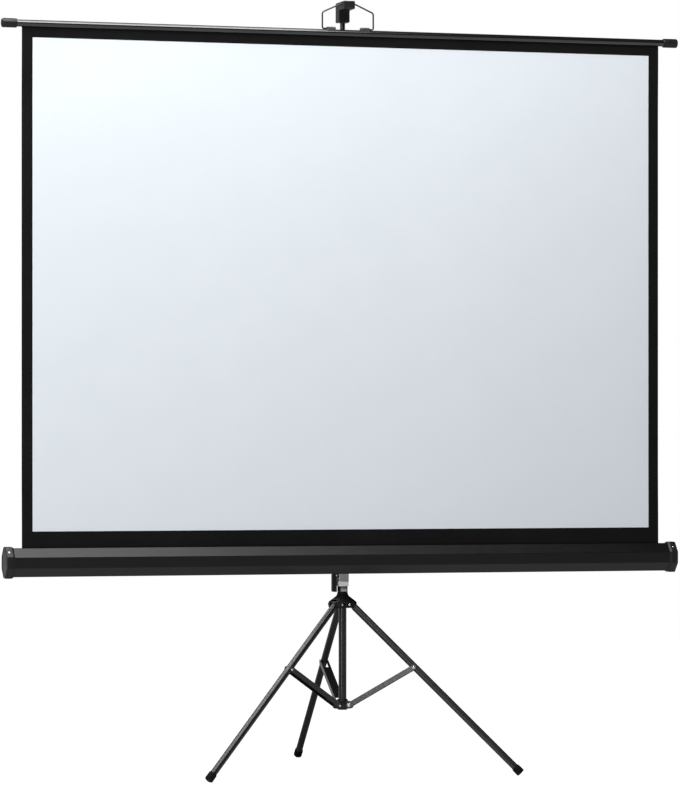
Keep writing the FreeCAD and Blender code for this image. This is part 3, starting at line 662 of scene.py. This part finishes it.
# wire bail
FOOT = BZ + 11.0 + 2.5 + 0.08
route = [(-44, FOOT), (-84, FOOT), (-84, 2401.0), (-24, 2428.0), (24, 2428.0), (84, 2401.0), (84, FOOT), (44, FOOT)]
flat = rounded([(x, z) for x, z in route], [0, 4.5, 9.0, 9.0, 9.0, 9.0, 4.5, 0], 10, closed=False)
line = []
for a, b in zip(flat, flat[1:]):
    steps = max(1, int((b - a).length / 8))
    line += [a + (b - a) * k / steps for k in range(steps)]
line.append(flat[-1])
bm = new()
sweep(bm, [(p[0], SY, p[1]) for p in line], 2.5, 20)
piece("bail_wire_form", bm, "top", ["bail_wire"], ["bail"], angle=50.0)

clips, heads = [], []
for sx in (-1, 1):
    x0 = sx * 56.0
    prof = rounded([(-9.5, BZ + 4.4), (-9.5, BZ + 18.6), (9.5, BZ + 18.6), (9.5, BZ + 4.4)], [0, 2.6, 2.6, 0], 5)
    body = new()
    loft(body, [[(x, SY + p[0] * k, BZ + 11.0 + (p[1] - BZ - 11.0) * k) for p in prof]
                for x, k in ((x0 - 14.0, 0.93), (x0 - 13.0, 1.0), (x0 + 13.0, 1.0), (x0 + 14.0, 0.93))])
    bar = new()
    lathe(bar, [(0, -30), (11.05, -30), (11.05, 30), (0, 30)], 64, T(x0, SY, BZ) @ rot(90, "Y"))
    wire = new()
    lathe(wire, [(0, -30), (2.56, -30), (2.56, 30), (0, 30)], 28, T(x0, SY, FOOT) @ rot(90, "Y"))
    clips.append(carve(body, ("DIFFERENCE", bar), ("DIFFERENCE", wire)))
    for sy in (-1, 1):
        heads.append(cross_head((x0, SY + sy * 6.2, BZ + 18.5), (0, 0, 1), 2.6, 1.6, 30.0 + 25 * sx * sy))
piece("bail_saddle_clips", joined(clips), "top", ["dark_zinc"], ["bail_clips"], angle=30.0)
piece("bail_clip_screws", joined(heads), "top", ["bright_steel"], ["clip_screws"])

# hook block on the rod: a side profile with rounded edges, a groove for the bail and a sunk panel in its lip
side_view = [(-20.0, 2412.0), (-20.0, 2437.0), (-3.6, 2437.0), (-3.6, 2425.4), (3.6, 2425.4), (3.6, 2437.0),
             (76.0, 2437.0), (76.0, 2375.0), (38.0, 2375.0), (38.0, 2412.0)]
radii = [2.0, 3.0, 1.2, 2.8, 2.8, 1.2, 4.0, 2.5, 2.5, 3.4]
prof = rounded(side_view, radii, 5)
bm = new()
rings = loft(bm, [[(x, SY + p[0], p[1]) for p in prof] for x in (-17.6, 17.6)])
edges = [e for e in bm.edges if all(abs(abs(v.co.x) - 17.6) < 1e-6 for v in e.verts) and e.verts[0].co.x * e.verts[1].co.x > 0]
bmesh.ops.bevel(bm, geom=edges, offset=1.0, segments=3, profile=0.5, affect="EDGES", clamp_overlap=True)
panel = new()
block(panel, (-13.6, -21.5, 2415.6), (13.6, -19.0, 2433.0), 0.6, 2, T(0, SY, 0))
tool = new()
lathe(tool, [(0, -40), (8.05, -40), (8.05, 51), (0, 51)], 48, T(0, PY, 2373.0))
bm = carve(bm, ("DIFFERENCE", tool), ("DIFFERENCE", panel))
piece("hook_block_moulding", bm, "top", ["black_nylon"], ["hook_block"], angle=30.0, weighted=True)

# ------------------------------------------------------------------ post, bush and knob
Z0 = 1438.0
bm = new()
lathe(bm, [(12.56, 0.0), (15.2, 0.0)] + fillet_arc(15.0, 1.5, 1.5, -90, 0, 4) +
      [(16.5, 12.0), (16.1, 12.5), (16.1, 13.6), (16.5, 14.1), (16.5, 38.0)] + fillet_arc(13.0, 38.5, 3.5, 0, 90, 6) +
      [(9.2, 42.0), (8.1, 40.9), (8.1, 12.1), (12.56, 12.1)], 64, T(0, PY, Z0), closed=True)
boss = new()
lathe(boss, [(0, 10.0), (8.5, 10.0), (8.5, 24.6), (8.1, 25.4), (7.2, 26.0), (3.1, 26.0), (3.1, 24.0), (0, 24.0)], 40, aimed((0, PY, Z0 + 28.0), (0, 1, 0)))
bm = carve(bm, ("UNION", boss))
piece("post_top_bush_moulding", bm, "post", ["black_nylon"], ["post_top_bush"], angle=30.0)

bm = new()


def lobed(h, r, depth, n=144):
    out = []
    for k in range(n):
        a = 2 * math.pi * k / n
        c = math.cos(9 * a)
        rr = r - depth * (0.5 - 0.5 * c) ** 1.6
        out.append((rr * math.cos(a), rr * math.sin(a), h))
    return out


m = aimed((0, PY, Z0 + 28.0), (0, 1, 0))
loops = [[(8.0 * math.cos(2 * math.pi * k / 144), 8.0 * math.sin(2 * math.pi * k / 144), 26.5) for k in range(144)],
         [(8.0 * math.cos(2 * math.pi * k / 144), 8.0 * math.sin(2 * math.pi * k / 144), 28.2) for k in range(144)],
         lobed(28.2, 12.6, 0.6), lobed(28.9, 13.6, 1.3), lobed(30.2, 14.0, 2.0), lobed(39.2, 14.0, 2.0), lobed(41.2, 13.3, 1.6), lobed(42.2, 11.9, 0.9),
         lobed(42.5, 10.4, 0.3), lobed(42.5, 9.0, 0.0), lobed(42.0, 8.4, 0.0), lobed(41.9, 4.0, 0.0)]
loft(bm, [[m @ Vector(p) for p in l] for l in loops])
shank = new()
lathe(shank, [(0, 8.6), (2.4, 8.6), (2.98, 9.3)] + [(2.98 if k % 2 else 2.6, 9.6 + 0.55 * k) for k in range(28)] + [(2.98, 25.2), (2.98, 30.0), (0, 30.0)], 28, m)
bm = carve(bm, ("UNION", shank))
piece("rod_clamp_knob", bm, "rod_clamp", ["black_nylon"], ["rod_knob"], angle=30.0)


def side_at(side):
    return T(0, PY, 0) @ rot(AZIM[side], "Z")


# lower hub with three lugs
bm = new()
lathe(bm, [(12.56, 200.0), (16.0, 200.0), (16.7, 200.3), (17.0, 201.0), (17.0, 228.4), (16.5, 229.5), (15.4, 230.0), (12.56, 230.0)], 60, T(0, PY, 0), closed=True)
steps = []
for side in AZIM:
    lug = new()
    prof = rounded([(13.4, 200.2), (33.5, 200.2), (33.5, 223.8), (13.4, 223.8)], [0, 8.0, 9.5, 0], 8)
    m = side_at(side)
    loft(lug, [[m @ Vector((24.0 + (p[0] - 24.0) * k, y, 211.7 + (p[1] - 211.7) * k)) for p in prof]
               for y, k in ((-11.0, 0.94), (-10.2, 1.0), (10.2, 1.0), (11.0, 0.94))])
    steps.append(("UNION", lug))
bore = new()
lathe(bore, [(0, 190), (12.55, 190), (12.55, 240), (0, 240)], 60, T(0, PY, 0))
bm = carve(bm, *steps, ("DIFFERENCE", bore))
piece("lower_hub_moulding", bm, "post", ["black_nylon"], ["lower_hub"], angle=30.0)

bm = new()
for side in AZIM:
    m = side_at(side) @ aimed((24.0, 0, 211.7), (0, 1, 0))
    prof = [(0, -16.1)] + [(r, -z) for r, z in reversed(dome(5.2, 1.9, 6, 14.0))][1:] + [(5.2, -13.95), (3.0, -13.9), (3.0, 13.9), (5.2, 13.95)] + dome(5.2, 1.9, 6, 14.0)[1:]
    lathe(bm, prof, 32, m)
piece("lower_hub_pins", bm, "post", ["bright_steel"], ["lower_hub_rivets"])

bm = new()
lathe(bm, [(0, 195.9), (11.0, 195.9), (14.0, 196.2), (15.2, 197.0), (15.5, 198.0), (15.5, 199.3), (15.0, 199.9), (11.25, 199.9), (11.25, 221.0), (10.4, 222.0), (0, 222.0)], 56, T(0, PY, 0))
piece("post_end_plug_moulding", bm, "post", ["black_nylon"], ["post_end_plug"])

# ------------------------------------------------------------------ leg collar
prof = [(12.56, 520.0), (40.0, 520.0)] + fillet_arc(40.3, 524.7, 4.7, -90, 0, 7) + fillet_arc(39.0, 535.0, 6.0, 0, 53, 8) + \
       [(36.0, 545.2), (28.0, 551.2), (23.0, 555.0), (20.4, 557.4), (18.6, 560.0), (17.4, 562.6), (17.0, 565.0), (17.0, 567.4), (16.4, 568.4), (15.4, 568.6), (12.56, 568.6)]
bm = new()
lathe(bm, prof, 108, T(0, PY, 0), closed=True)
steps = []
for side in AZIM:
    m = side_at(side)
    cut = new()
    s = rounded([(-12.0, 505.0), (12.0, 505.0), (12.0, 546.0), (-12.0, 546.0)], [0, 0, 5.0, 5.0], 5)
    loft(cut, [[m @ Vector((x, p[0], p[1])) for p in s] for x in (16.5, 70.0)])
    steps.append(("DIFFERENCE", cut))
for side in AZIM:
    m = side_at(side)
    cut = new()
    lathe(cut, [(0, -60), (3.05, -60), (3.05, 60), (0, 60)], 28, m @ aimed((30.0, 0, 531.0), (0, 1, 0)))
    steps.append(("DIFFERENCE", cut))
for side in AZIM:
    for sy in (-1, 1):
        m = side_at(side)
        cut = new()
        lathe(cut, [(0, 30.2), (5.2, 30.2), (6.2, 34.5), (7.0, 60.0), (0, 60.0)], 32, m @ aimed((30.0, 0, 531.0), (0, sy, 0)))
        steps.append(("DIFFERENCE", cut))
bm = carve(bm, *steps)
piece("leg_collar_moulding", bm, "collar", ["collar_nylon_painted_shade"], ["leg_collar"], angle=30.0)

bm = new()
for side in AZIM:
    m = side_at(side) @ aimed((30.0, 0, 531.0), (0, 1, 0))
    half = [(2.98, 0.0), (2.98, 30.3), (4.3, 30.4), (4.3, 31.4)] + dome(4.3, 1.5, 5, 31.4)[1:]
    lathe(bm, [(r, -z) for r, z in reversed(half[1:])] + half[1:], 28, m)
piece("leg_pivot_rivets", bm, "collar", ["bright_steel"], ["leg_pivot_pins"])

# ------------------------------------------------------------------ legs and braces
for side in AZIM:
    m = side_at(side) @ T(30.0, 0, 531.0) @ rot(180.0 - ALPHA, "Y")
    # rubber boot with a beaded mouth and rounded sole edge, worn flat where it stands on its lower edge
    s1 = LEG - 8.0 / math.cos(math.radians(ALPHA))
    s0 = s1 - 26.0
    prof = [(0, s1 - 8.2), (11.06, s1 - 8.2), (11.06, s0), (12.3, s0), (13.0, s0 + 0.4), (13.5, s0 + 1.3), (13.5, s0 + 3.0), (12.9, s0 + 3.8), (12.9, s0 + 4.8), (13.4, s0 + 5.6),
            (13.6, s0 + 9.0)] + fillet_arc(11.0, s1 - 2.6, 2.6, 0, 90, 6) + [(9.0, s1), (8.4, s1 - 0.5), (0, s1 - 0.5)]
    bm = new()
    lathe(bm, prof, 56, m)
    bmesh.ops.recalc_face_normals(bm, faces=bm.faces)
    done = bmesh.ops.bisect_plane(bm, geom=bm.verts[:] + bm.edges[:] + bm.faces[:], plane_co=(0, 0, 0), plane_no=(0, 0, -1), clear_outer=True)
    cutline = [e for e in done["geom_cut"] if isinstance(e, bmesh.types.BMEdge)]
    bmesh.ops.contextual_create(bm, geom=cutline)
    piece("rubber_foot_" + side, bm, side + "_leg", ["foot_rubber"], [side + "_leg_foot"], angle=40.0)

    # pressed channel brace: two cheeks with round ends, a web between them
    m = side_at(side) @ T(24.0, 0, 211.7) @ rot(BETA, "Y")
    cheeks = []
    for sgn in (-1, 1):
        plate = new()
        ends = [(8.0 * math.cos(math.radians(d)), BRACE + 8.0 * math.sin(math.radians(d))) for d in range(0, 181, 12)]
        ends += [(8.0 * math.cos(math.radians(d)), 8.0 * math.sin(math.radians(d))) for d in range(180, 361, 12)]
        mid = 0.5 * BRACE
        loft(plate, [[m @ Vector((p[0] * k, sgn * y, mid + (p[1] - mid) * (1 - (1 - k) * 0.06))) for p in ends]
                     for y, k in ((12.0, 0.97), (12.25, 1.0), (13.25, 1.0), (13.5, 0.97))])
        cheeks.append(plate)
    web = new()
    block(web, (-8.0, -13.3, 26.0), (-6.5, 13.3, 202.0), 0.3, 2, m)
    bm = carve(cheeks[0], ("UNION", cheeks[1]), ("UNION", web))
    piece("channel_brace_" + side, bm, side + "_brace", ["brace_steel"], [side + "_brace"], angle=30.0)

    # rivets through the brace's upper end
    bm = new()
    for sgn in (-1, 1):
        mm = m @ aimed((0, sgn * 13.5, BRACE), (0, sgn, 0))
        lathe(bm, [(0, -2.4), (2.46, -2.4), (2.46, 0.02), (5.2, 0.05), (5.2, 0.5)] + dome(5.2, 1.5, 6, 0.5)[1:], 32, mm)
    piece("brace_rivet_pair_" + side, bm, side + "_brace", ["bright_steel"], [side + "_brace_rivets"])

# ------------------------------------------------------------------ carriage
bm = new()


def square_loop(half, r, z, n=6):
    return [(p[0], PY + p[1], z) for p in rounded([(-half, -half), (half, -half), (half, half), (-half, half)], r, n)]


loft(bm, [square_loop(16.5, 3.0, 603.0), square_loop(16.5, 3.0, 711.4), square_loop(16.2, 2.8, 712.0), square_loop(14.6, 1.6, 712.0), square_loop(14.5, 1.6, 603.0)], closed=True)
piece("zinc_sleeve", bm, "carriage", ["zinc_steel"], ["slide_sleeve"], angle=30.0, weighted=True)

bm = new()
for z0, low in ((588.2, True), (689.0, False)):
    def around(z, half, r):
        return [Vector(p) for p in square_loop(half, r, z)]
    if low:
        shape = [(588.2, 15.6, 2.6), (588.8, 16.3, 3.0), (594.2, 16.3, 3.0), (594.6, 15.3, 2.4), (596.6, 15.3, 2.4), (597.0, 16.3, 3.0), (602.4, 16.3, 3.0), (602.9, 15.8, 2.6), (602.9, 14.4, 1.5), (618.0, 14.4, 1.5)]
    else:
        shape = [(689.0, 14.4, 1.5), (711.0, 14.4, 1.5)]
    loops = [around(*s) for s in shape]
    bore_pts = []
    for p in loops[0]:
        d = Vector((p[0], p[1] - PY)).normalized() * 12.62
        bore_pts.append((d[0], PY + d[1]))
    loops.append([Vector((q[0], q[1], shape[-1][0])) for q in bore_pts])
    loops.append([Vector((q[0], q[1], shape[0][0])) for q in bore_pts])
    loft(bm, loops, closed=True)
piece("nylon_guides", bm, "carriage", ["guide_plastic"], ["sleeve_guides"], angle=30.0)

# black foot of the carriage with a plated plate let into its front
bm = new()
lathe(bm, [(12.82, 569.0), (15.0, 569.0), (15.9, 569.4), (16.2, 570.3), (16.2, 586.8), (15.8, 587.6), (15.0, 587.9), (12.82, 587.9)], 60, T(0, PY, 0), closed=True)
win = new()
block(win, (-10.6, -24.0, 571.0), (10.6, -12.0, 590.0), 0.0, 1, T(0, PY, 0))
bm = carve(bm, ("DIFFERENCE", win))
plate = new()
block(plate, (-10.2, -15.6, 571.4), (10.2, -13.4, 587.6), 0.5, 2, T(0, PY, 0), mat=1)
bm = joined([bm, plate])
piece("carriage_foot_moulding", bm, "carriage", ["black_nylon", "zinc_steel"], ["carriage_foot"], angle=30.0)

# pressed bracket behind the case
bm = new()
y0, y1 = CY + 36.05, PY - 16.55
prof = rounded([(-48.0, 650.0), (48.0, 650.0), (48.0, 696.0), (-48.0, 696.0)], 9.0, 7)
loft(bm, [[(p[0] * k, y, 673.0 + (p[1] - 673.0) * k) for p in prof] for y, k in ((y0, 0.992), (y0 + 0.4, 1.0), (y1 - 0.5, 1.0), (y1, 0.99))])
piece("bracket_pressing", bm, "carriage", ["black_steel"], ["case_bracket"], angle=30.0)
bm = new()
for x in (-38.0, 38.0):
    lathe(bm, [(0, 0.0), (4.6, 0.0), (4.6, 0.5)] + dome(4.6, 1.6, 6, 0.5)[1:], 32, aimed((x, PY - 16.5, 673.0), (0, 1, 0)))
piece("bracket_rivet_heads", bm, "carriage", ["bright_steel"], ["bracket_rivets"])

# squeeze lever: a moulded channel, open towards the sleeve, hung on the ears
bm = new()
prof = rounded([(-35.5, 570.0), (-20.3, 570.0), (-20.3, 613.0), (-22.4, 617.6), (-18.8, 622.0), (-22.5, 625.9), (-26.5, 628.0), (-35.5, 628.0)],
               [4.5, 2.0, 1.5, 1.0, 2.2, 1.5, 0.8, 5.0], 5)
loft(bm, [[(-28.0 + (p[0] + 28.0) * k, PY + y, 600.0 + (p[1] - 600.0) * (1 - (1 - k) * 0.25)) for p in prof] for y, k in ((-7.2, 0.92), (-6.8, 0.975), (-6.1, 1.0), (6.1, 1.0), (6.8, 0.975), (7.2, 0.92))])
hollow = new()
block(hollow, (-29.5, -5.6, 585.0), (-12.0, 5.6, 614.0), 1.2, 2, T(0, PY, 0))
bm = carve(bm, ("DIFFERENCE", hollow))
piece("squeeze_lever", bm, "lever", ["black_nylon"], ["lock_lever"], angle=30.0)

# ears that carry the lever
bm = new()
for y in (-9.6, 7.6):
    prof = rounded([(-27.0, 613.0), (-16.6, 613.0), (-16.6, 630.0), (-27.0, 630.0)], [6.0, 0, 0, 6.0], 6)
    loft(bm, [[(p[0], PY + yy, p[1]) for p in prof] for yy in (y, y + 2.0)])
block(bm, (-18.05, -9.6, 613.0), (-16.55, 9.6, 630.0), 0.3, 2, T(0, PY, 0))
piece("lever_ear_pressing", bm, "carriage", ["ear_zinc"], ["lever_ears"], angle=30.0)

# ------------------------------------------------------------------ construction parts that stay as they are
FINISH = {
    "centre_post": "black_tube", "extension_rod": "rod_tube", "rod_end_plug": "black_nylon", "hook_pin": "bright_steel",
    "keder_rod": "guide_plastic", "slot_felts": "felt", "pivot_rivet": "bright_steel", "lever_pin": "bright_steel", "lever_spring": "dark_zinc",
    "spring_arbor": "zinc_steel", "idle_pin": "zinc_steel", "roller_tube": "zinc_steel", "roller_plug_left": "black_nylon", "roller_plug_right": "black_nylon",
}
for side in AZIM:
    FINISH[side + "_leg_tube"] = "leg_tube"
    FINISH[side + "_leg_insert"] = "black_nylon"
for n, o in NODES.items():
    key = FINISH.get(n)
    if key is None and not o.hide_render:
        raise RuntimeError("no finish for " + n)
    if key:
        o.data.materials.clear()
        o.data.materials.append(M[key])

# ------------------------------------------------------------------ floor, light and camera
t = Tree("studio_floor")
t.to("Base Color", t.mix(t.ranged(t.noise(0.7, 3.0), 0.35, 0.65, 0.0, 1.0), (0.13, 0.13, 0.13), (0.15, 0.15, 0.15)))
t.set(Roughness=0.9, Emission_Color=(1.0, 1.0, 1.0, 1.0), Specular_IOR_Level=0.0)
seen = t.add("ShaderNodeLightPath").outputs["Is Camera Ray"]
depth = t.add("ShaderNodeSeparateXYZ")
t.link(t.coord, depth.inputs[0])
# To the camera the floor is evenly white. For other rays it glows as a light from below, at 0.58 in front and 0.10 just
# behind the screen: painted shadow of the screen on the floor. Far behind, the glow rises again.
near = t.ranged(depth.outputs["Y"], -0.22, 0.06, 0.58, 0.10)
far = t.ranged(depth.outputs["Y"], 0.9, 1.7, 0.10, 0.62)
glow_with_painted_shade = t.math("MAXIMUM", near, far)
t.to("Emission Strength", t.math("MAXIMUM", seen, glow_with_painted_shade))
bm = new()
rings = []
for r in (0.0, 2.0, 6.0, 20.0, 60.0):
    rings.append([bm.verts.new((0, 0, 0))] if r == 0 else [bm.verts.new((r * math.cos(2 * math.pi * k / 64), r * math.sin(2 * math.pi * k / 64), 0)) for k in range(64)])
for a, b in zip(rings, rings[1:]):
    ring_faces(bm, a, b)
bmesh.ops.recalc_face_normals(bm, faces=bm.faces)
if bm.faces[:][0].normal.z < 0:
    bmesh.ops.reverse_faces(bm, faces=bm.faces)
me = bpy.data.meshes.new("studio_floor")
bm.to_mesh(me)
bm.free()
floor = bpy.data.objects.new("studio_floor", me)
me.materials.append(t.mat)
SCENE.collection.objects.link(floor)
floor.location.z = -0.0004
floor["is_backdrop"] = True


def softbox(name, at, aim, wide, high, watts, colour=(1, 1, 1)):
    d = bpy.data.lights.new(name, "AREA")
    d.shape = "RECTANGLE"
    d.size, d.size_y = wide, high
    d.energy = watts
    d.color = colour
    o = bpy.data.objects.new(name, d)
    SCENE.collection.objects.link(o)
    o.location = at
    o.rotation_euler = (Vector(aim) - Vector(at)).to_track_quat("-Z", "Y").to_euler()
    return o


softbox("key", (0.20, -3.1, 5.3), (0.0, -0.2, 1.4), 1.9, 1.5, 99.0)
softbox("overhead", (-0.62, -0.95, 4.7), (-0.62, -0.95, 0.0), 2.6, 2.2, 82.0)
softbox("strip", (-2.9, -3.1, 1.4), (0.0, -0.2, 1.4), 0.45, 3.0, 42.0)
softbox("side_top", (-1.45, -0.75, 4.4), (-0.4, -0.35, 0.15), 0.8, 1.0, 44.0)
softbox("rim", (-2.0, 1.35, 4.4), (-0.4, -0.3, 0.2), 1.8, 1.8, 95.0)

world = bpy.data.worlds.new("studio")
SCENE.world = world
world.use_nodes = True
nt = world.node_tree
nt.nodes.clear()
out = nt.nodes.new("ShaderNodeOutputWorld")
bg_seen = nt.nodes.new("ShaderNodeBackground")
bg_seen.inputs["Color"].default_value = (1, 1, 1, 1)
bg_seen.inputs["Strength"].default_value = 1.0
bg_light = nt.nodes.new("ShaderNodeBackground")
tc = nt.nodes.new("ShaderNodeTexCoord")
toward = nt.nodes.new("ShaderNodeVectorMath")
toward.operation = "DOT_PRODUCT"
toward.inputs[1].default_value = (-0.75, 0.66, 0.0)
nt.links.new(tc.outputs["Generated"], toward.inputs[0])
ramp = nt.nodes.new("ShaderNodeMapRange")
ramp.interpolation_type = "SMOOTHSTEP"
for i, v in enumerate((0.45, 0.95, 0.03, 0.50)):
    ramp.inputs[i + 1].default_value = v
nt.links.new(toward.outputs["Value"], ramp.inputs[0])
nt.links.new(ramp.outputs[0], bg_light.inputs["Strength"])
path = nt.nodes.new("ShaderNodeLightPath")
mixw = nt.nodes.new("ShaderNodeMixShader")
nt.links.new(path.outputs["Is Camera Ray"], mixw.inputs[0])
nt.links.new(bg_light.outputs[0], mixw.inputs[1])
nt.links.new(bg_seen.outputs[0], mixw.inputs[2])
nt.links.new(mixw.outputs[0], out.inputs["Surface"])

SCENE.view_settings.view_transform = "Standard"

# The camera stands a little left of the middle, at about chest height and far back, with a long lens.
cam = bpy.data.cameras.new("camera")
cam.sensor_fit = "AUTO"
cam.sensor_width = 36.0
cam.lens = 3926.193 * 36.0 / 786.0
cam.shift_y = 47.09 / 786.0
cam.clip_end = 200.0
co = bpy.data.objects.new("camera", cam)
SCENE.collection.objects.link(co)
theta, dist, lat = math.radians(16.8128), 12.400895, 0.024741
right = Vector((math.cos(theta), -math.sin(theta), 0))
look = Vector((math.sin(theta), math.cos(theta), 0))
co.location = Vector((0, SY / 1000, 0)) - look * dist - right * lat + Vector((0, 0, 1.0513))
co.rotation_euler = (math.pi / 2, 0, -theta)
SCENE.camera = co

low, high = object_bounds()
